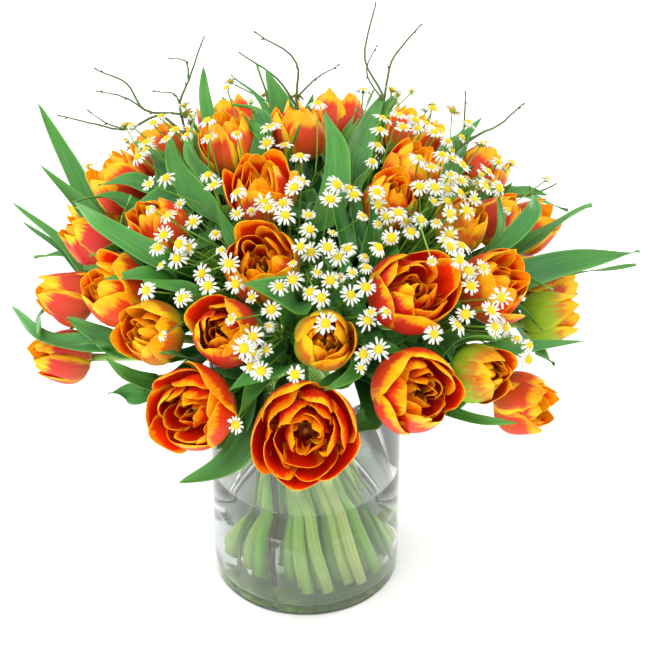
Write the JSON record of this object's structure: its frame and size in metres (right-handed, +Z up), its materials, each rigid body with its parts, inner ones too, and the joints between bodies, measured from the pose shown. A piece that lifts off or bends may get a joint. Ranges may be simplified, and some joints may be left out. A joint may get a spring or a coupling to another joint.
{
  "type": "tulips in a vase",
  "caption": "Domed bouquet of double tulips with leaves, small daisies and bare twigs, standing in water in a clear glass cylinder vase.",
  "frame": {"origin": "centre of the vase's foot, on the surface it stands on", "axes": "+Z up along the vase's axis, -Y towards the front of the bouquet"},
  "size_m": [0.4788, 0.4571, 0.4099],
  "materials": {
    "petal": "satin petals, orange-red with feathered yellow-orange margins, pinkish red outside",
    "leaf": "satin blue-green leaves and yellow-green stems with fine lengthwise veins",
    "daisy": "matte white rays round a yellow domed disc",
    "twig": "matte dark greenish-brown bark",
    "glass": "clear polished, faintly green in the thick floor",
    "water": "clear, still",
    "tie": "matte natural raffia"
  },
  "bodies": {
    "root": {"bloom_01": "petal", "bloom_02": "petal", "bloom_03": "petal", "bloom_04": "petal", "bloom_05": "petal", "bloom_06": "petal", "bloom_07": "petal", "bloom_08": "petal", "bloom_09": "petal", "bloom_10": "petal", "bloom_11": "petal", "bloom_12": "petal", "bloom_13": "petal", "bloom_14": "petal", "bloom_15": "petal", "bloom_16": "petal", "bloom_17": "petal", "bloom_18": "petal", "bloom_19": "petal", "bloom_20": "petal", "bloom_21": "petal", "bloom_22": "petal", "bloom_23": "petal", "bloom_24": "petal", "bloom_25": "petal", "bloom_26": "petal", "bloom_27": "petal", "bloom_28": "petal", "bloom_29": "petal", "bloom_30": "petal", "bloom_31": "petal", "bloom_32": "petal", "bloom_33": "petal", "bloom_34": "petal", "bloom_35": "petal", "bloom_36": "petal", "bloom_37": "petal", "bloom_38": "petal", "bloom_39": "petal", "bloom_40": "petal", "daisy_spray_01": "daisy", "daisy_spray_02": "daisy", "daisy_spray_03": "daisy", "daisy_spray_04": "daisy", "daisy_spray_05": "daisy", "twig_bunch_01": "twig", "twig_bunch_02": "twig", "leafy_stems_01": "leaf", "leafy_stems_02": "leaf", "leafy_stems_03": "leaf", "leafy_stems_04": "leaf", "leafy_stems_05": "leaf", "leafy_stems_06": "leaf", "leafy_stems_07": "leaf", "leafy_stems_08": "leaf", "vase": "glass", "water": "water", "tie": "tie"}
  },
  "joints": []
}
